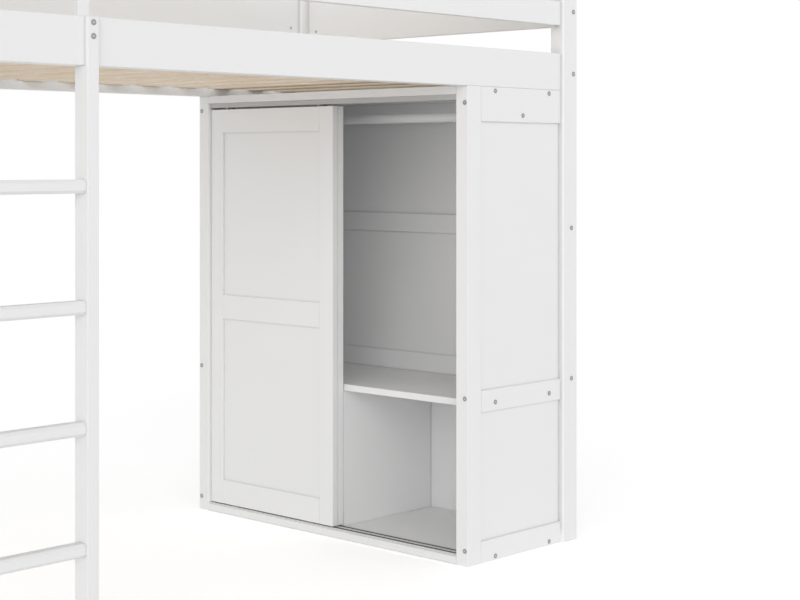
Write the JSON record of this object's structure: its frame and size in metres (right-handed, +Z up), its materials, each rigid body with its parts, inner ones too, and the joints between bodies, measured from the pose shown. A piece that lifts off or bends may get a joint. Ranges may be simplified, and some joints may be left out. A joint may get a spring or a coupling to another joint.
{
  "type": "loft bed",
  "caption": "White wooden loft bed with a slatted base, guard rails, a ladder and, under one end, a wardrobe with bypass sliding doors.",
  "frame": {"origin": "on the floor under the middle of the bed", "axes": "+X along the bed towards the wardrobe end, +Y to the wall side, +Z up"},
  "size_m": [1.988, 1.072, 1.61],
  "materials": {
    "white_paint": "satin white paint on pine and board",
    "panel_white": "white faced thin panel",
    "natural_pine": "bare planed pine",
    "rod_white": "satin white paint",
    "track_plastic": "grey white extruded plastic",
    "housing_plastic": "moulded",
    "nylon": "moulded nylon",
    "bolt_steel": "zinc plated",
    "nut_zinc": "zinc plated"
  },
  "bodies": {
    "root": {"back_guard_board": "white_paint", "back_left_post": "white_paint", "back_panel_lower": "panel_white", "back_panel_middle": "panel_white", "back_panel_upper": "panel_white", "back_right_post": "white_paint", "back_side_rail": "white_paint", "back_slat_cleat": "white_paint", "bed_slats": "natural_pine", "bottom_track": "track_plastic", "connector_bolts": "bolt_steel", "cross_nuts": "nut_zinc", "front_guard_lower": "white_paint", "front_guard_upper": "white_paint", "front_left_post": "white_paint", "front_right_post": "white_paint", "front_side_rail": "white_paint", "front_slat_cleat": "white_paint", "guard_upright": "white_paint", "hanging_rod": "rod_white", "ladder_rungs": "white_paint", "ladder_upright": "white_paint", "left_end_rail": "white_paint", "left_guard_board": "white_paint", "left_lower_mid_rail": "white_paint", "left_upper_mid_rail": "white_paint", "right_end_rail": "white_paint", "right_guard_board": "white_paint", "right_lower_mid_rail": "white_paint", "right_upper_mid_rail": "white_paint", "top_track": "track_plastic", "wardrobe_back_bottom_rail": "white_paint", "wardrobe_back_mid_rail": "white_paint", "wardrobe_back_panels": "white_paint", "wardrobe_back_stile": "white_paint", "wardrobe_back_top_board": "white_paint", "wardrobe_bottom_panel": "white_paint", "wardrobe_divider": "white_paint", "wardrobe_front_bottom_rail": "white_paint", "wardrobe_front_mid_rail": "white_paint", "wardrobe_front_panels": "white_paint", "wardrobe_front_stile": "white_paint", "wardrobe_front_top_board": "white_paint", "wardrobe_shelf": "white_paint", "wardrobe_top_panel": "white_paint"},
    "front_door": {"front_door_stiles": "white_paint", "front_door_rails": "white_paint", "front_door_panels": "white_paint", "front_roller_housings": "housing_plastic", "front_top_guides": "housing_plastic"},
    "rear_door": {"rear_door_stiles": "white_paint", "rear_door_rails": "white_paint", "rear_door_panels": "white_paint", "rear_roller_housings": "housing_plastic", "rear_top_guides": "housing_plastic"},
    "front_door_wheel_low": {"front_door_wheel_low": "nylon"},
    "front_door_wheel_high": {"front_door_wheel_high": "nylon"},
    "rear_door_wheel_low": {"rear_door_wheel_low": "nylon"},
    "rear_door_wheel_high": {"rear_door_wheel_high": "nylon"}
  },
  "joints": [
    {"name": "front_door_slide", "type": "slide", "parent": "root", "child": "front_door", "axis": [0, -1, 0], "range_m": [0, 0.4574]},
    {"name": "rear_door_slide", "type": "slide", "parent": "root", "child": "rear_door", "axis": [0, -1, 0], "range_m": [0, 0.4574]},
    {"name": "front_door_wheel_low_roll", "type": "hinge", "parent": "front_door", "child": "front_door_wheel_low", "pos_m": [0.5691, 0.072, 0.0328], "axis": [1, 0, 0], "range_deg": [0, 2200]},
    {"name": "front_door_wheel_high_roll", "type": "hinge", "parent": "front_door", "child": "front_door_wheel_high", "pos_m": [0.5691, 0.3854, 0.0328], "axis": [1, 0, 0], "range_deg": [0, 2200]},
    {"name": "rear_door_wheel_low_roll", "type": "hinge", "parent": "rear_door", "child": "rear_door_wheel_low", "pos_m": [0.5911, 0.072, 0.0328], "axis": [1, 0, 0], "range_deg": [0, 2200]},
    {"name": "rear_door_wheel_high_roll", "type": "hinge", "parent": "rear_door", "child": "rear_door_wheel_high", "pos_m": [0.5911, 0.3854, 0.0328], "axis": [1, 0, 0], "range_deg": [0, 2200]}
  ],
  "couplings": [
    {"joint": "front_door_wheel_low_roll", "follows": "front_door_slide", "rad_per_m": 83.333},
    {"joint": "front_door_wheel_high_roll", "follows": "front_door_slide", "rad_per_m": 83.333},
    {"joint": "rear_door_wheel_low_roll", "follows": "rear_door_slide", "rad_per_m": 83.333},
    {"joint": "rear_door_wheel_high_roll", "follows": "rear_door_slide", "rad_per_m": 83.333}
  ]
}
